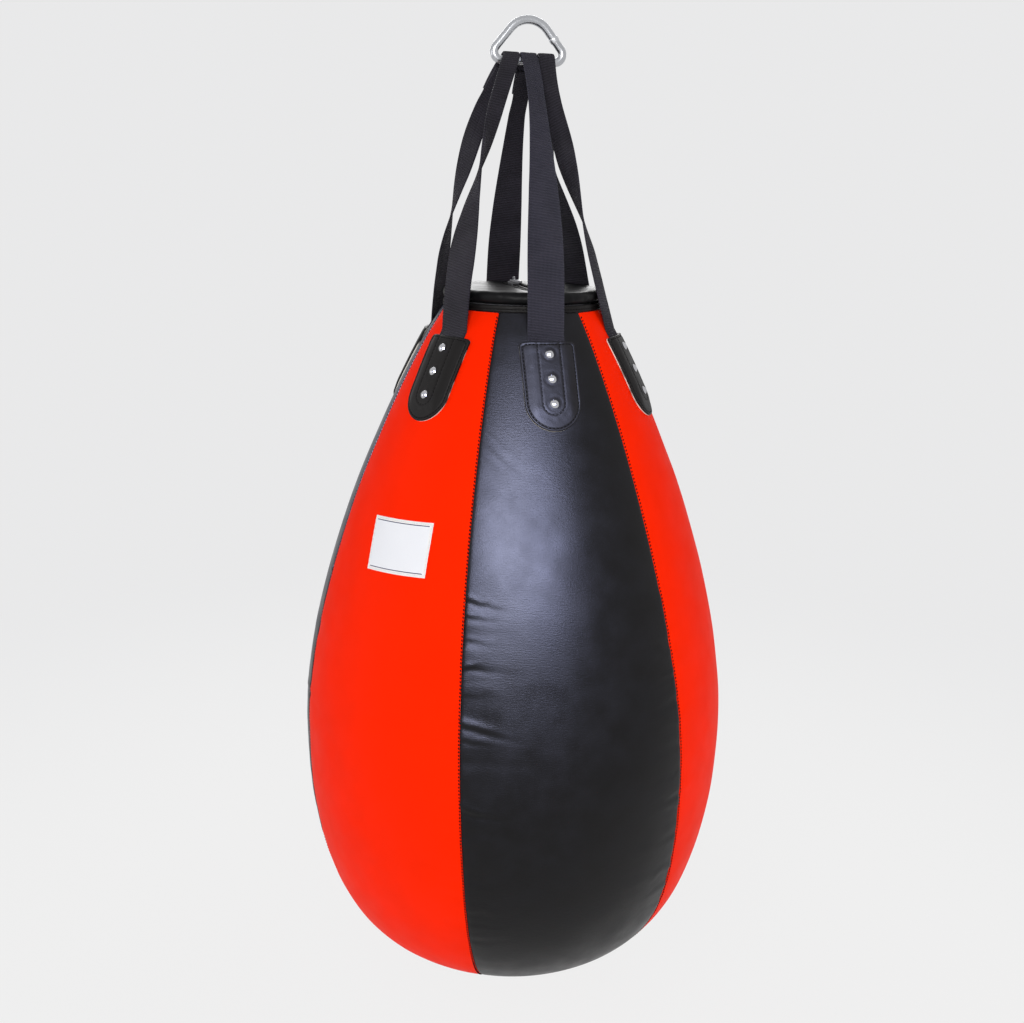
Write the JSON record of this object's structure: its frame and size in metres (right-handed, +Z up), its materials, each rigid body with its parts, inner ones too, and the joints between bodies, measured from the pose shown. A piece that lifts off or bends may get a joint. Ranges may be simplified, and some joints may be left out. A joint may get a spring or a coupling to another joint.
{
  "type": "heavy punching bag",
  "caption": "Teardrop heavy bag sewn from black and red gores, with a zipped lid, riveted tabs and webbing straps that hang it from a steel ring",
  "frame": {"origin": "the place inside the crown of the hanging ring where a hook bears, on the bag's axis", "axes": "+Z up, -Y out of the middle of the front black gore, +X to the right as seen from the front, along the ring's bar"},
  "size_m": [0.566, 0.5658, 1.2214],
  "materials": {
    "black_vinyl": "satin",
    "red_vinyl": "satin",
    "lining_cloth": "matte",
    "textile_fill": "matte",
    "tab_leather": "satin",
    "webbing": "matte",
    "rivet_chrome": "polished",
    "zinc_steel": "satin",
    "backing_leather": "matte",
    "ring_steel": "satin",
    "patch_cloth": "matte",
    "zip_cloth": "matte",
    "zip_plastic": "satin",
    "zip_metal": "satin"
  },
  "bodies": {
    "ring": {"hanging_ring": "ring_steel"},
    "bag": {"panel_front_black": "black_vinyl", "panel_front_right_red": "red_vinyl", "panel_back_right_black": "black_vinyl", "panel_back_red": "red_vinyl", "panel_back_left_black": "black_vinyl", "panel_front_left_red": "red_vinyl", "top_lid": "black_vinyl", "rim_binding": "black_vinyl", "bottom_patch": "black_vinyl", "lining": "lining_cloth", "fill": "textile_fill", "tab_front": "tab_leather", "tab_front_right": "tab_leather", "tab_back_right": "tab_leather", "tab_back": "tab_leather", "tab_back_left": "tab_leather", "tab_front_left": "tab_leather", "strap_front": "webbing", "strap_front_right": "webbing", "strap_back_right": "webbing", "strap_back": "webbing", "strap_back_left": "webbing", "strap_front_left": "webbing", "rivets": "rivet_chrome", "rivet_washers": "zinc_steel", "backing_patches": "backing_leather", "blank_patch": "patch_cloth", "zip_tape": "zip_cloth", "zip_teeth": "zip_plastic", "zip_stops": "zinc_steel"},
    "slider": {"zip_slider": "zip_metal"},
    "pull": {"zip_pull": "zip_metal"}
  },
  "joints": [
    {"name": "bag_swing", "type": "hinge", "parent": "ring", "child": "bag", "pos_m": [0, 0, -0.041], "axis": [1, 0, 0], "range_deg": [-75, 75]},
    {"name": "zip_slide", "type": "slide", "parent": "bag", "child": "slider", "axis": [0, -1, 0], "range_m": [0, 0.096]},
    {"name": "pull_flip", "type": "hinge", "parent": "slider", "child": "pull", "pos_m": [0, 0.048, -0.3016], "axis": [-1, 0, 0], "range_deg": [0, 175]}
  ]
}
